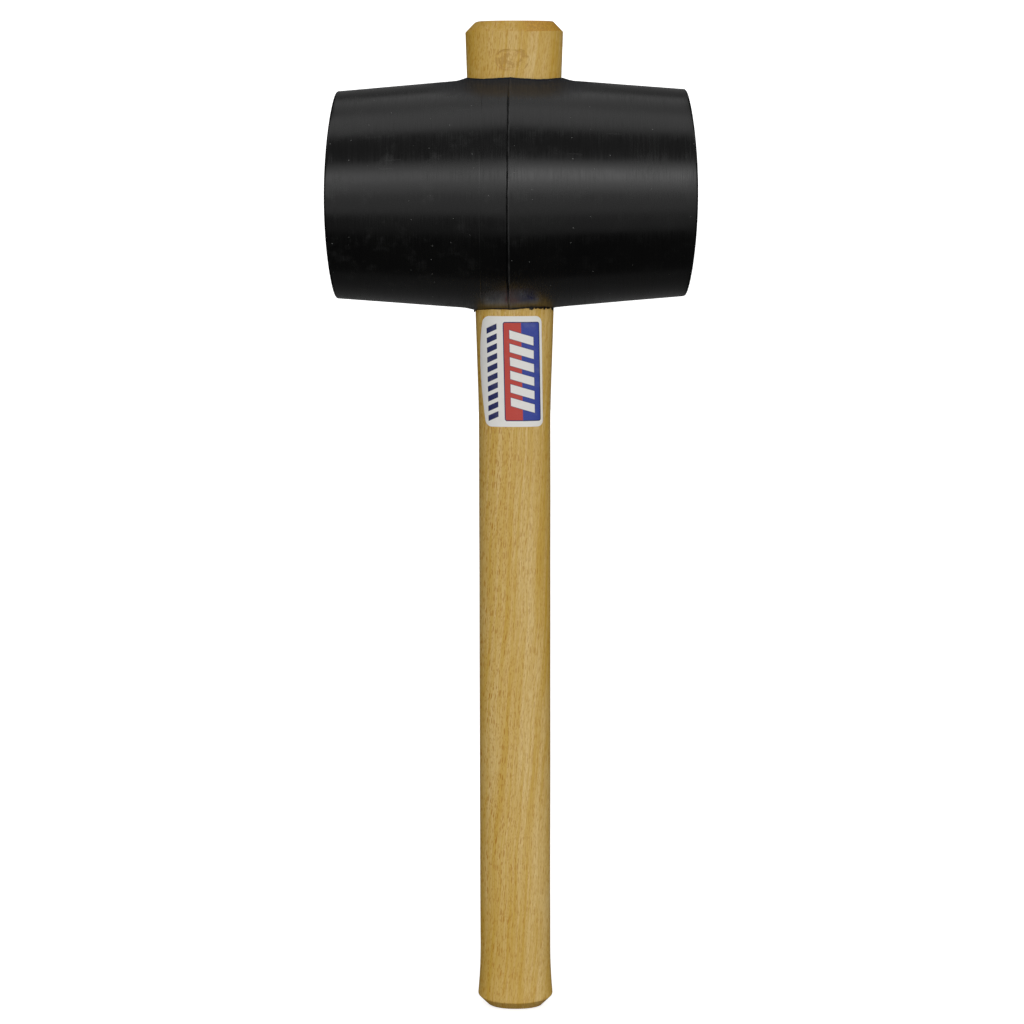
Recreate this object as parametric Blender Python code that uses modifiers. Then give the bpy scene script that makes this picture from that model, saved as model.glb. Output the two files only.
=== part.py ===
"""Rubber mallet: a solid moulded rubber head on a one-piece beech handle, with a paper-backed label.

Units are metres, +Z runs up the handle to the head, +X runs along the head, -Y is the labelled front.
The origin is the centre of the handle's butt. The head is two short cones back to back, with a tapered
oval eye through its middle. The handle's top is the same taper, widest at the top, so the head is dropped
over the butt end and driven up the handle until the two tapers jam: there is no wedge, pin or glue.
"""

from math import asin, cos, pi, radians, sin, sqrt, tau

import bmesh
import bpy
import numpy as np

# Head, a turned shape about the X axis
HEAD_LENGTH = 0.1424
HEAD_MIDDLE_DIAMETER = 0.0897
HEAD_SIDE_ANGLE = radians(4.57)  # each half narrows towards its face
HEAD_CENTRE_X = -0.0015  # the eye is moulded a little off the middle
HEAD_CENTRE_Z = 0.3221
FACE_FLAT_RADIUS = 0.010
FACE_CROWN_RADIUS = 0.120  # the face curves gently away outside its flat middle
RIM_ROUNDING = 0.0055
HEAD_STEPS = 72

# Handle, a loft of oval sections up the Z axis
HANDLE_LENGTH = 0.3877
SECTION_POWER = 2.4  # 2 is an ellipse, more is squarer
SHANK_HALF_WIDTH = 0.01395
SHANK_HALF_DEPTH = 0.0106
TAPER_START = 0.240
TAPER_BLEND = 0.014  # the length over which the shank turns into the taper
WIDTH_TAPER = 0.0331  # growth of the half width per metre of height
DEPTH_TAPER = 0.0168
BUTT_CHAMFER = 0.0037
BUTT_FLARE_TOP = 0.025
BUTT_FLARE = 0.0009
TOP_CHAMFER = 0.0041
SECTION_POINTS = 56

EYE_CLEARANCE = 0.0003

# Label, a thin sheet wrapped round the front of the shank
LABEL_BOTTOM = 0.2331
LABEL_TOP = 0.2758
LABEL_LEFT = radians(-58.0)  # angles round the section, from the front
LABEL_RIGHT = radians(43.8)
LABEL_CORNER = 0.0023
LABEL_GAP = 0.0003
LABEL_THICKNESS = 0.0002
LABEL_COLUMNS = 14
LABEL_CORNER_ROWS = 4
LABEL_STRAIGHT_ROWS = 8


def clear_scene():
    for item in list(bpy.data.objects):
        bpy.data.objects.remove(item)


def new_collection(name):
    collection = bpy.data.collections.new(name)
    bpy.context.scene.collection.children.link(collection)
    return collection


def new_object(name, mesh, collection):
    item = bpy.data.objects.new(name, mesh)
    collection.objects.link(item)
    return item


def mesh_from(bm, name):
    mesh = bpy.data.meshes.new(name)
    bm.to_mesh(mesh)
    bm.free()
    return mesh


def finish_material(item, colour, roughness):
    material = bpy.data.materials.new(item.name)
    material.use_nodes = True
    shader = material.node_tree.nodes["Principled BSDF"]
    shader.inputs["Base Color"].default_value = (*colour, 1.0)
    shader.inputs["Roughness"].default_value = roughness
    shader.inputs["Metallic"].default_value = 0.0
    item.data.materials.append(material)


# ---- handle ---------------------------------------------------------------


def taper_ramp(z):
    """Height climbed on the taper at z: nothing below its start, straight above, a parabola between."""
    past = z - TAPER_START + TAPER_BLEND / 2
    if past <= 0:
        return 0.0
    if past < TAPER_BLEND:
        return past * past / (2 * TAPER_BLEND)
    return past - TAPER_BLEND / 2


def butt_flare(z):
    """How far the butt stands out from the shank at z."""
    if z >= BUTT_FLARE_TOP:
        return 0.0
    return BUTT_FLARE * ((BUTT_FLARE_TOP - z) / (BUTT_FLARE_TOP - BUTT_CHAMFER)) ** 2


def chamfer_cut(z):
    """How far the chamfers at the two ends cut the section in at z."""
    return max(BUTT_CHAMFER - z, z - (HANDLE_LENGTH - TOP_CHAMFER), 0.0)


def handle_half_sizes(z):
    """Half width along X and half depth along Y of the uncut section at z."""
    ramp = taper_ramp(z)
    flare = butt_flare(max(z, BUTT_CHAMFER))
    return SHANK_HALF_WIDTH + WIDTH_TAPER * ramp + flare, SHANK_HALF_DEPTH + DEPTH_TAPER * ramp + flare


def section_point(half_width, half_depth, angle):
    """Point of the rounded oval at an angle that starts at the front and turns towards +X."""
    across, along = sin(angle), -cos(angle)
    size = (abs(across) ** SECTION_POWER + abs(along) ** SECTION_POWER) ** (1 / SECTION_POWER)
    return half_width * across / size, half_depth * along / size


def section_normal(x, y, half_width, half_depth):
    """Outward direction of the rounded oval at one of its points."""
    power = SECTION_POWER - 1
    nx = np.sign(x) * abs(x / half_width) ** power / half_width
    ny = np.sign(y) * abs(y / half_depth) ** power / half_depth
    length = sqrt(nx * nx + ny * ny)
    return nx / length, ny / length


def loft(name, heights, half_sizes):
    """Closed solid through the oval sections at the given heights."""
    bm = bmesh.new()
    rings = []
    for z in heights:
        half_width, half_depth = half_sizes(z)
        ring = []
        for step in range(SECTION_POINTS):
            x, y = section_point(half_width, half_depth, tau * step / SECTION_POINTS)
            ring.append(bm.verts.new((x, y, z)))
        rings.append(ring)
    for lower, upper in zip(rings, rings[1:]):
        for step in range(SECTION_POINTS):
            after = (step + 1) % SECTION_POINTS
            bm.faces.new((lower[step], lower[after], upper[after], upper[step]))
    bm.faces.new(list(reversed(rings[0])))
    bm.faces.new(rings[-1])
    return mesh_from(bm, name)


def cut_half_sizes(z):
    half_width, half_depth = handle_half_sizes(z)
    cut = chamfer_cut(z)
    return half_width - cut, half_depth - cut


def make_handle(parts):
    butt = np.linspace(BUTT_CHAMFER, BUTT_FLARE_TOP, 7)
    blend = np.linspace(TAPER_START - TAPER_BLEND / 2, TAPER_START + TAPER_BLEND / 2, 6)
    heights = [0.0, *butt, *blend, HANDLE_LENGTH - TOP_CHAMFER, HANDLE_LENGTH]
    mesh = loft("handle", heights, cut_half_sizes)
    mesh.shade_smooth()
    mesh.set_sharp_from_angle(angle=radians(30))
    handle = new_object("handle", mesh, parts)
    finish_material(handle, (0.52, 0.34, 0.12), 0.5)
    return handle


# ---- head -----------------------------------------------------------------


def head_profile():
    """Outer edge of the head as (radius, place along its axis), from one face's centre to the other's."""
    half = HEAD_LENGTH / 2
    middle = HEAD_MIDDLE_DIAMETER / 2
    slope = HEAD_SIDE_ANGLE
    crown = FACE_CROWN_RADIUS
    inner = crown - RIM_ROUNDING
    # Where the crown's arc hands over to the rim's, so that the rim's arc also touches the side
    reach = (middle - FACE_FLAT_RADIUS) * cos(slope) - RIM_ROUNDING - (half - crown) * sin(slope)
    handover = asin(reach / inner) - slope
    points = [(0.0, half)]
    for angle in np.linspace(0, handover, 5):
        points.append((FACE_FLAT_RADIUS + crown * sin(angle), half - crown * (1 - cos(angle))))
    rim_radius = FACE_FLAT_RADIUS + inner * sin(handover)
    rim_place = half - crown + inner * cos(handover)
    for angle in np.linspace(handover, pi / 2 - slope, 7)[1:]:
        points.append((rim_radius + RIM_ROUNDING * sin(angle), rim_place + RIM_ROUNDING * cos(angle)))
    far_half = [(radius, -place) for radius, place in reversed(points)]
    return points + [(middle, 0.0)] + far_half


def make_head(parts, eye):
    bm = bmesh.new()
    corners = [bm.verts.new((radius, 0, place)) for radius, place in head_profile()]
    for first, second in zip(corners, corners[1:]):
        bm.edges.new((first, second))
    head = new_object("head", mesh_from(bm, "head"), parts)
    head.location = (HEAD_CENTRE_X, 0, HEAD_CENTRE_Z)
    head.rotation_euler = (0, pi / 2, 0)
    turn = head.modifiers.new("turn", "SCREW")
    turn.axis = "Z"
    turn.angle = tau
    turn.steps = HEAD_STEPS
    turn.render_steps = HEAD_STEPS
    turn.use_merge_vertices = True
    turn.merge_threshold = 0.00001
    cut = head.modifiers.new("eye", "BOOLEAN")
    cut.operation = "DIFFERENCE"
    cut.solver = "EXACT"
    cut.object = eye
    finish_material(head, (0.012, 0.012, 0.013), 0.45)
    return head


def eye_half_sizes(z):
    half_width, half_depth = handle_half_sizes(z)
    return half_width + EYE_CLEARANCE, half_depth + EYE_CLEARANCE


def make_eye(cutters):
    """The tapered oval hole through the head, the handle's own taper plus the clearance."""
    reach = HEAD_MIDDLE_DIAMETER / 2 + 0.006
    heights = [HEAD_CENTRE_Z - reach, HEAD_CENTRE_Z + reach]
    eye = new_object("eye_cutter", loft("eye_cutter", heights, eye_half_sizes), cutters)
    eye.hide_render = True
    eye.display_type = "WIRE"
    return eye


# ---- label ----------------------------------------------------------------


def label_rows():
    """Heights of the label's rows, closer together where the corners are round."""
    turns = np.linspace(0, pi / 2, LABEL_CORNER_ROWS + 1)
    lower = LABEL_BOTTOM + LABEL_CORNER * (1 - np.cos(turns))
    straight = np.linspace(LABEL_BOTTOM + LABEL_CORNER, LABEL_TOP - LABEL_CORNER, LABEL_STRAIGHT_ROWS + 1)
    upper = LABEL_TOP - LABEL_CORNER * (1 - np.cos(turns[::-1]))
    return [*lower[:-1], *straight, *upper[1:]]


def label_corner_inset(z):
    """Angle by which the round corners narrow the label on each side at z."""
    into = max(LABEL_BOTTOM + LABEL_CORNER - z, z - LABEL_TOP + LABEL_CORNER, 0.0)
    into = min(into, LABEL_CORNER)
    return (LABEL_CORNER - sqrt(LABEL_CORNER**2 - into**2)) / SHANK_HALF_WIDTH


def make_label(parts):
    bm = bmesh.new()
    grid = []
    for z in label_rows():
        inset = label_corner_inset(z)
        half_width, half_depth = handle_half_sizes(z)
        row = []
        for angle in np.linspace(LABEL_LEFT + inset, LABEL_RIGHT - inset, LABEL_COLUMNS + 1):
            x, y = section_point(half_width, half_depth, angle)
            nx, ny = section_normal(x, y, half_width, half_depth)
            row.append(bm.verts.new((x + nx * LABEL_GAP, y + ny * LABEL_GAP, z)))
        grid.append(row)
    for lower, upper in zip(grid, grid[1:]):
        for column in range(LABEL_COLUMNS):
            bm.faces.new((lower[column], lower[column + 1], upper[column + 1], upper[column]))
    label = new_object("label", mesh_from(bm, "label"), parts)
    sheet = label.modifiers.new("thickness", "SOLIDIFY")
    sheet.thickness = LABEL_THICKNESS
    sheet.offset = 1.0
    finish_material(label, (0.74, 0.73, 0.70), 0.4)
    return label


def main():
    clear_scene()
    parts = new_collection("rubber_mallet")
    cutters = new_collection("cutters")
    make_head(parts, make_eye(cutters))
    make_handle(parts)
    make_label(parts)


main()
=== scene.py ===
"""The looks of the rubber mallet: black moulded rubber, beech and a printed label, in a plain white studio.

Metres, +Z up the handle, +X along the head, -Y is the labelled front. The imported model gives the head's
place, length and width, the handle's top and the label's two ends.
"""

from math import asin, atan2, cos, exp, pi, radians, sin, sqrt, tan, tau

import bmesh
import bpy
import numpy as np
from mathutils import Matrix, Vector, noise


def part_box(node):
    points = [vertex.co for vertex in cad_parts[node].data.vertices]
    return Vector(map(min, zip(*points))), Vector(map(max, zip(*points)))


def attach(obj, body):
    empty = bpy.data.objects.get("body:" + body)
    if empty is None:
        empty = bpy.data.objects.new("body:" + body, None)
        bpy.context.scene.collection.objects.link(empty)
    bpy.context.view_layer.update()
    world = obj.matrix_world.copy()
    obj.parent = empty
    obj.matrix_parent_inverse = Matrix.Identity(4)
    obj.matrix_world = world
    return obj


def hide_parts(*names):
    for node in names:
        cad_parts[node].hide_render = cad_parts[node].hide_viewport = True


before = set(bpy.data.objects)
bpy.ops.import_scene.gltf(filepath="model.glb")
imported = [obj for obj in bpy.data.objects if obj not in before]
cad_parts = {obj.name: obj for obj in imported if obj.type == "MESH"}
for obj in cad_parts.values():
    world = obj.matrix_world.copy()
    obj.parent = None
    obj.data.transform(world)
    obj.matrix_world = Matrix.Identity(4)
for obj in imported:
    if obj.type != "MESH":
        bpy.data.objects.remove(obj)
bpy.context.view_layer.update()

MM = 0.001

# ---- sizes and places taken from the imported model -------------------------

head_low, head_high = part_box("head")
label_low, label_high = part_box("label")

HEAD_CENTRE_X = (head_low.x + head_high.x) / 2
HEAD_CENTRE_Z = (head_low.z + head_high.z) / 2
HEAD_RADIUS = (head_high.y - head_low.y) / 2
HANDLE_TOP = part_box("handle")[1].z

# ---- sizes of the visible head ----------------------------------------------

HEAD_SIDE_ANGLE = radians(4.57)
FACE_DOME = 1.3 * MM  # how far a face's middle stands out beyond its front and back edges
FACE_SAG = 2.35 * MM  # how much shorter the head is along its top and bottom than along its front and back
RIM_ROUNDING = 1.0 * MM
LEFT_TRIM, RIGHT_TRIM = 0.5 * MM, 0.15 * MM  # how far the faces stay inside the model's
HEAD_SKEW = radians(0.3)  # the head sits a little askew on the handle, right end up
FACE_SKEW = radians(0.2)
HEAD_LIFT = 0.2 * MM
UPPER_NARROWING = 0.1  # the upper side is this much shorter, per metre of height
HEAD_HEIGHT_GAIN = 0.12 * MM
HEAD_DEPTH_TRIM = 0.2 * MM  # keeps the parting ridge inside the model's box
SAG_LENGTH = 70 * MM  # where along a cone the sag is full
SAG_RADIUS = 39 * MM  # and where across a face

# ---- sizes of the visible handle --------------------------------------------

SECTION_POWER = 2.4
SHANK_HALF_WIDTH = 13.95 * MM
SHANK_HALF_DEPTH = 10.6 * MM
TAPER_START = 240 * MM
TAPER_BLEND = 14 * MM
WIDTH_TAPER = 0.0331
DEPTH_TAPER = 0.0168
BUTT_CHAMFER = 3.7 * MM
BUTT_FLARE_TOP = 25 * MM
BUTT_FLARE = 1.05 * MM
BUTT_WEAR = 0.5 * MM
TOP_CHAMFER = 4.1 * MM
EYE_CLEARANCE = 0.3 * MM
WAVINESS = 0.07 * MM  # unevenness of hand sanding
# Roundings of the four bends up the handle's side. Those at the two ends are worn rounder on the left
BUTT_ROUNDING, BUTT_LEFT_WEAR = 0.5 * MM, 1.6 * MM
LOWER_ROUNDING, UPPER_ROUNDING = 0.9 * MM, 0.4 * MM
TOP_ROUNDING, TOP_LEFT_WEAR = 0.35 * MM, 2.6 * MM
END_RING = 3.0 * MM  # width of the flat ring inside each end's edge
END_CAPS = [0.82, 0.6, 0.38, 0.16]  # sizes of the rings that fill an end's middle
BEND_STEPS = 8
HANDLE_COLUMNS = 288
SHANK_ROW, TOP_ROW, STAMP_ROW = 2.4 * MM, 1.0 * MM, 0.3 * MM  # heights of the rows of faces
TOP_ROWS_START = 345 * MM

# ---- fine shape of the head --------------------------------------------------

PARTING_X = -1.5 * MM
PARTING_SKEW = 1.1 * MM  # how far the line stands to the left at the front and to the right behind
SKEW_REACH = 55 * MM  # distance along the head at which the skew has died out
PARTING_RIDGE = 0.20 * MM
PARTING_WIDTH = 0.16 * MM
PARTING_STEP = 0.10 * MM  # the left half is this much smaller at the line
STEP_REACH = 4 * MM
CRACK_DEPTH = 0.24 * MM  # a crack runs along the ridge's left side
CRACK_WIDTH = 0.15 * MM
CRACK_OFFSET = 0.40 * MM
SCUFF_OFFSET, SCUFF_WIDTH = 0.32 * MM, 0.25 * MM  # the ridge's right flank is scuffed
WITNESS_LINE_X = -12.0 * MM
WITNESS_LINE_DEPTH = 0.035 * MM
WITNESS_LINE_SCUFF = 0.15 * MM
COLLAR_START, COLLAR_REACH = -2 * MM, 4.8 * MM  # the rubber swells where the handle was driven in
COLLAR_RISE = {1: 1.0625 * MM, -1: 0.4375 * MM}  # above and below
HEAD_COLUMNS = 360
FACE_RINGS = [*np.linspace(0.08, 0.9, 14), 0.94, 0.97, 1.0]  # shares of a face's radius
RIM_RINGS = 12
RIM_GAP = 0.3 * MM  # between a rim and the side's first ring
FINE_RING, NEAR_RING, EYE_RING, FAR_RING = 0.08 * MM, 0.25 * MM, 0.5 * MM, 1.1 * MM  # ring spacings
EYE_RINGS_REACH = 22 * MM
EYE_COLUMNS = 180
EYE_CUT_REACH = 60 * MM


def smooth_step(low, high, value):
    """0 up to low, 1 from high on, and a smooth climb between them."""
    t = min(max((value - low) / (high - low), 0.0), 1.0)
    return t * t * (3 - 2 * t)


def new_object(name, data):
    item = bpy.data.objects.new(name, data)
    bpy.context.scene.collection.objects.link(item)
    return item


def mesh_from_rings(name, rings, close_start, close_end):
    """Closed tube through rings of equal length. Each end is closed onto one point."""
    count = len(rings[0])
    points = [p for ring in rings for p in ring]
    faces = []
    for row in range(len(rings) - 1):
        base = row * count
        for k in range(count):
            after = (k + 1) % count
            faces.append((base + k, base + after, base + count + after, base + count + k))
    last = (len(rings) - 1) * count
    points.append(close_start)
    faces += [(len(points) - 1, (k + 1) % count, k) for k in range(count)]
    points.append(close_end)
    faces += [(len(points) - 1, last + k, last + (k + 1) % count) for k in range(count)]
    mesh = bpy.data.meshes.new(name)
    mesh.from_pydata(points, [], faces)
    mesh.update()
    mesh.shade_smooth()
    return mesh


def mesh_facing_out(name, bm):
    """Smooth mesh from a bmesh, with all its faces turned outwards."""
    bmesh.ops.recalc_face_normals(bm, faces=bm.faces)
    mesh = bpy.data.meshes.new(name)
    bm.to_mesh(mesh)
    bm.free()
    mesh.shade_smooth()
    return mesh


def evaluated_mesh(item, name):
    """The object's mesh with its modifiers applied."""
    graph = bpy.context.evaluated_depsgraph_get()
    mesh = bpy.data.meshes.new_from_object(item.evaluated_get(graph))
    mesh.name = name
    return mesh


# ---- handle shape -----------------------------------------------------------


def taper_ramp(z):
    """Height climbed on the taper at z: nothing below its start, straight above, a parabola between."""
    past = z - TAPER_START + TAPER_BLEND / 2
    if past <= 0:
        return 0.0
    if past < TAPER_BLEND:
        return past * past / (2 * TAPER_BLEND)
    return past - TAPER_BLEND / 2


def handle_half_sizes(z):
    """Half width along X and half depth along Y of the handle's uncut section."""
    low = max(z, BUTT_CHAMFER)
    flare = 0.0
    if low < BUTT_FLARE_TOP:
        flare = BUTT_FLARE * ((BUTT_FLARE_TOP - low) / (BUTT_FLARE_TOP - BUTT_CHAMFER)) ** 2
    ramp = taper_ramp(z)
    return SHANK_HALF_WIDTH + WIDTH_TAPER * ramp + flare, SHANK_HALF_DEPTH + DEPTH_TAPER * ramp + flare


def section_point(half_width, half_depth, angle):
    """Point of the rounded oval at an angle that starts at the front and turns towards +X."""
    across, along = sin(angle), -cos(angle)
    size = (abs(across) ** SECTION_POWER + abs(along) ** SECTION_POWER) ** (1 / SECTION_POWER)
    return half_width * across / size, half_depth * along / size


def section_normal(x, y, half_width, half_depth):
    """Outward direction of the rounded oval at one of its points."""
    power = SECTION_POWER - 1
    nx = np.sign(x) * abs(x / half_width) ** power / half_width
    ny = np.sign(y) * abs(y / half_depth) ** power / half_depth
    length = sqrt(nx * nx + ny * ny)
    return nx / length, ny / length


def rounded_path(corners, roundings, steps):
    """Points of a bent line in a plane whose inner corners are rounded by arcs."""
    path = [Vector(corners[0])]
    for before, corner, after, radius in zip(corners, corners[1:], corners[2:], roundings):
        before, corner, after = Vector(before), Vector(corner), Vector(after)
        back = (before - corner).normalized()
        ahead = (after - corner).normalized()
        half = back.angle(ahead) / 2
        reach = radius / tan(half)
        centre = corner + (back + ahead).normalized() * (radius / sin(half))
        start = corner + back * reach - centre
        end = corner + ahead * reach - centre
        for step in range(steps + 1):
            path.append(centre + start.slerp(end, step / steps) * radius)
    path.append(Vector(corners[-1]))
    return path


# A stamped oval mark on the front of the handle's top, worn and shallow, with no letters in it.
# It is deepest along its bank, and a slight lip stands up outside it
STAMP_CENTRE = (-0.7 * MM, 372.9 * MM)
STAMP_HALF = (6.2 * MM, 3.8 * MM)
STAMP_DEPTH = 0.25 * MM
STAMP_BANK = 0.5 * MM
STAMP_MIDDLE = (0.6 * MM, 1.6 * MM)  # distances inside the edge between which the floor rises again
STAMP_WEAR_SIZE = 3.5 * MM


def stamp_cut(x, z):
    """Depth of the stamped mark at a place on the front."""
    dx = max(abs(x - STAMP_CENTRE[0]) - (STAMP_HALF[0] - STAMP_HALF[1]), 0.0)
    dz = z - STAMP_CENTRE[1]
    inside = STAMP_HALF[1] - sqrt(dx * dx + dz * dz)
    if inside < -STAMP_BANK:
        return 0.0
    wear = 0.55 + 0.45 * noise.noise(Vector((x, z, 0)) / STAMP_WEAR_SIZE)
    lip = -0.35 * exp(-((inside / STAMP_BANK) ** 2) * 3)
    raised_middle = 1 - 0.5 * smooth_step(STAMP_MIDDLE[0], STAMP_MIDDLE[1], inside)
    return STAMP_DEPTH * wear * (smooth_step(-0.1 * MM, STAMP_BANK, inside) * raised_middle + lip)


def handle_waviness(angle, z):
    """Slight hand-sanded unevenness of the wood."""
    spot = Vector((cos(angle) * 0.9, sin(angle) * 0.9, z / (38 * MM)))
    return WAVINESS * noise.noise(spot)


def handle_column(angle):
    """One line up the handle's side at an angle, as (outward offset, height) points, ends included."""
    left = smooth_step(-0.1, -0.95, sin(angle))
    top_cut = TOP_CHAMFER * (1 + 0.06 * sin(3 * angle + 1.0))
    butt_cut = BUTT_CHAMFER * (0.86 + 0.34 * sin(angle) ** 2)
    corners = [
        (-butt_cut - END_RING, BUTT_WEAR),
        (-butt_cut, BUTT_WEAR),
        (0.0, BUTT_WEAR + butt_cut),
        (0.0, HANDLE_TOP - top_cut),
        (-top_cut, HANDLE_TOP),
        (-top_cut - END_RING, HANDLE_TOP),
    ]
    butt_rounding = BUTT_ROUNDING + BUTT_LEFT_WEAR * left
    top_rounding = TOP_ROUNDING + TOP_LEFT_WEAR * left
    return rounded_path(corners, [butt_rounding, LOWER_ROUNDING, UPPER_ROUNDING, top_rounding], BEND_STEPS)


def row_height(z):
    """Rows are close together where the mark is stamped."""
    if abs(z - STAMP_CENTRE[1]) < STAMP_HALF[1] + 1.5 * MM:
        return STAMP_ROW
    return TOP_ROW if z > TOP_ROWS_START else SHANK_ROW


def shares_of_side(low, high):
    """Where rows are added on the long straight side between two heights, as shares of the way up."""
    shares = []
    z = low
    while z < high - row_height(z):
        z += row_height(z)
        shares.append((z - low) / (high - low))
    return shares


def handle_place(offset, z, angle):
    """Place of a point of the handle's surface, with its unevenness and the stamped mark."""
    half_width, half_depth = handle_half_sizes(z)
    x, y = section_point(half_width + offset, half_depth + offset, angle)
    nx, ny = section_normal(x, y, half_width + offset, half_depth + offset)
    inward = -handle_waviness(angle, z)
    if y < 0:
        inward += stamp_cut(x, z)
    return x - nx * inward, y - ny * inward, z


def make_handle():
    angles = [tau * k / HANDLE_COLUMNS for k in range(HANDLE_COLUMNS)]
    columns = [handle_column(a) for a in angles]
    middle = len(columns[0]) // 2
    shares = shares_of_side(columns[0][middle - 1].y, columns[0][middle].y)
    for column in columns:
        column[middle:middle] = [column[middle - 1].lerp(column[middle], share) for share in shares]
    rings = [[handle_place(*point, angle) for angle, point in zip(angles, row)] for row in zip(*columns)]
    bottom = [[(x * k, y * k, z) for x, y, z in rings[0]] for k in reversed(END_CAPS)]
    top = [[(x * k, y * k, z) for x, y, z in rings[-1]] for k in END_CAPS]
    mesh = mesh_from_rings("handle_beech", bottom + rings + top, (0, 0, BUTT_WEAR), (0, 0, HANDLE_TOP))
    return new_object("handle_beech", mesh)


# ---- head shape -------------------------------------------------------------


def half_profile(half_length):
    """Points of a face and its rim, from near the face's centre out to the side.

    Each is its distance from the parting line's plane and its radius.
    """
    slope, rim = HEAD_SIDE_ANGLE, RIM_ROUNDING
    edge = half_length - FACE_DOME
    edge_radius = HEAD_RADIUS - (edge - rim * (1 - sin(slope))) * tan(slope) - rim * cos(slope)
    turn = atan2(2 * FACE_DOME, edge_radius)
    inner = edge_radius + rim * sin(turn)
    points = []
    for share in FACE_RINGS:
        points.append((edge + FACE_DOME * (1 - share * share) - rim * (1 - cos(turn)), inner * share))
    for angle in np.linspace(turn, pi / 2 - slope, RIM_RINGS)[1:]:
        points.append((edge - rim * (1 - cos(angle)), edge_radius + rim * sin(angle)))
    return points


def side_places():
    """Places of the rings on the two cones, closer together at the fine lines and at the eye."""
    places = []
    x = head_low.x
    while x < head_high.x:
        places.append(x)
        near = min(abs(x - PARTING_X) / PARTING_WIDTH, abs(x - WITNESS_LINE_X) / PARTING_WIDTH)
        wide = EYE_RING if abs(x) < EYE_RINGS_REACH else FAR_RING
        x += FINE_RING if near < 5 else NEAR_RING if near < 10 else wide
    return places


def collar_rise(x, angle):
    """How far the rubber swells outwards near the mouths of the eye."""
    side = 1 if sin(angle) > 0 else -1
    y = HEAD_RADIUS * cos(angle)
    half_width, half_depth = handle_half_sizes(HEAD_CENTRE_Z + side * HEAD_RADIUS)
    powers = (abs(x) / half_width) ** SECTION_POWER + (abs(y) / half_depth) ** SECTION_POWER
    size = powers ** (1 / SECTION_POWER)
    gap = (size - 1) * sqrt(x * x + y * y) / max(size, 0.1)
    uneven = 1 + 0.3 * noise.noise(Vector((x, y, side * 50 * MM)) / (6 * MM))
    if side < 0:
        uneven += 1.2 * smooth_step(5 * MM, -18 * MM, x) - 0.5
    return COLLAR_RISE[side] * uneven * (1 - smooth_step(COLLAR_START, COLLAR_REACH, gap))


def head_surface(x, angle):
    """Radius of the head's side: two cones, the mould's parting line, a witness line, unevenness."""
    radius = HEAD_RADIUS - tan(HEAD_SIDE_ANGLE) * abs(x - PARTING_X)
    around = Vector((cos(angle), sin(angle), 0))
    ragged = 0.75 + 0.5 * noise.noise(around * 9) + 0.35 * noise.noise(around * 31)
    wander = parting_wander(around)
    off = (x - PARTING_X - wander) / PARTING_WIDTH
    ridge = PARTING_RIDGE * max(ragged, 0.15) * exp(-off * off)
    step = -PARTING_STEP * exp(min(off, 0.0) * PARTING_WIDTH / STEP_REACH) * smooth_step(0.6, -0.6, off)
    beside = (off * PARTING_WIDTH + CRACK_OFFSET) / CRACK_WIDTH
    crack = -CRACK_DEPTH * min(max(ragged, 0.0), 1.2) * exp(-beside * beside)
    witness = (x - WITNESS_LINE_X - 0.5 * wander) / (0.8 * PARTING_WIDTH)
    groove = -WITNESS_LINE_DEPTH * exp(-witness * witness)
    uneven = 0.05 * MM * noise.noise(Vector((x / (26 * MM), around.x * 1.7, around.y * 1.7)))
    return radius + ridge + step + crack + groove + uneven + collar_rise(x, angle)


def head_point(x, radius, angle, on_side=False):
    """Place of a point of the head's surface: of the side, or of a face or rim with a radius given.

    Angles turn from +Y towards +Z. The head is a little shorter along its top and bottom, the parting
    line is skewed about the handle, and it all sits askew.
    """
    reach = x - PARTING_X
    sag = FACE_SAG * sin(angle) ** 2
    if on_side:
        x -= sag * reach / SAG_LENGTH
        radius = head_surface(x, angle)
    else:
        share = min(radius / SAG_RADIUS, 1.0) ** 2
        x -= sag * share * (1 if reach > 0 else -1)
        radius += sag * tan(HEAD_SIDE_ANGLE) * share
    skew = PARTING_SKEW * cos(angle) * max(1 - abs(reach) / SKEW_REACH, 0.0)
    up = (radius + HEAD_HEIGHT_GAIN) * sin(angle)
    along = x + skew - HEAD_CENTRE_X - reach * up * UPPER_NARROWING
    return (
        HEAD_CENTRE_X + along + up * sin(FACE_SKEW),
        (radius - HEAD_DEPTH_TRIM) * cos(angle),
        HEAD_CENTRE_Z + HEAD_LIFT + along * sin(HEAD_SKEW) + up,
    )


def make_head():
    angles = [tau * k / HEAD_COLUMNS for k in range(HEAD_COLUMNS)]
    left_end, right_end = head_low.x + LEFT_TRIM, head_high.x - RIGHT_TRIM
    left_half = half_profile(PARTING_X - left_end)
    right_half = half_profile(right_end - PARTING_X)
    first, last = PARTING_X - left_half[-1][0] + RIM_GAP, PARTING_X + right_half[-1][0] - RIM_GAP
    rows = [(PARTING_X - place, radius, False) for place, radius in left_half]
    rows += [(x, 0.0, True) for x in side_places() if first < x < last]
    rows += [(PARTING_X + place, radius, False) for place, radius in reversed(right_half)]
    rings = [[head_point(x, radius, a, on_side) for a in angles] for x, radius, on_side in rows]
    ends = [head_point(left_end, 0.0, 0.0), head_point(right_end, 0.0, 0.0)]
    ends = [(x, 0.0, z) for x, y, z in ends]
    barrel = new_object("head_rubber", mesh_from_rings("barrel", rings, *ends))
    cut_eye(barrel)
    paint_parting(barrel)
    return barrel


def parting_wander(around):
    """How far the parting line strays along the head."""
    return 0.22 * MM * noise.noise(around * 2.2) + 0.06 * MM * noise.noise(around * 14)


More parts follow.
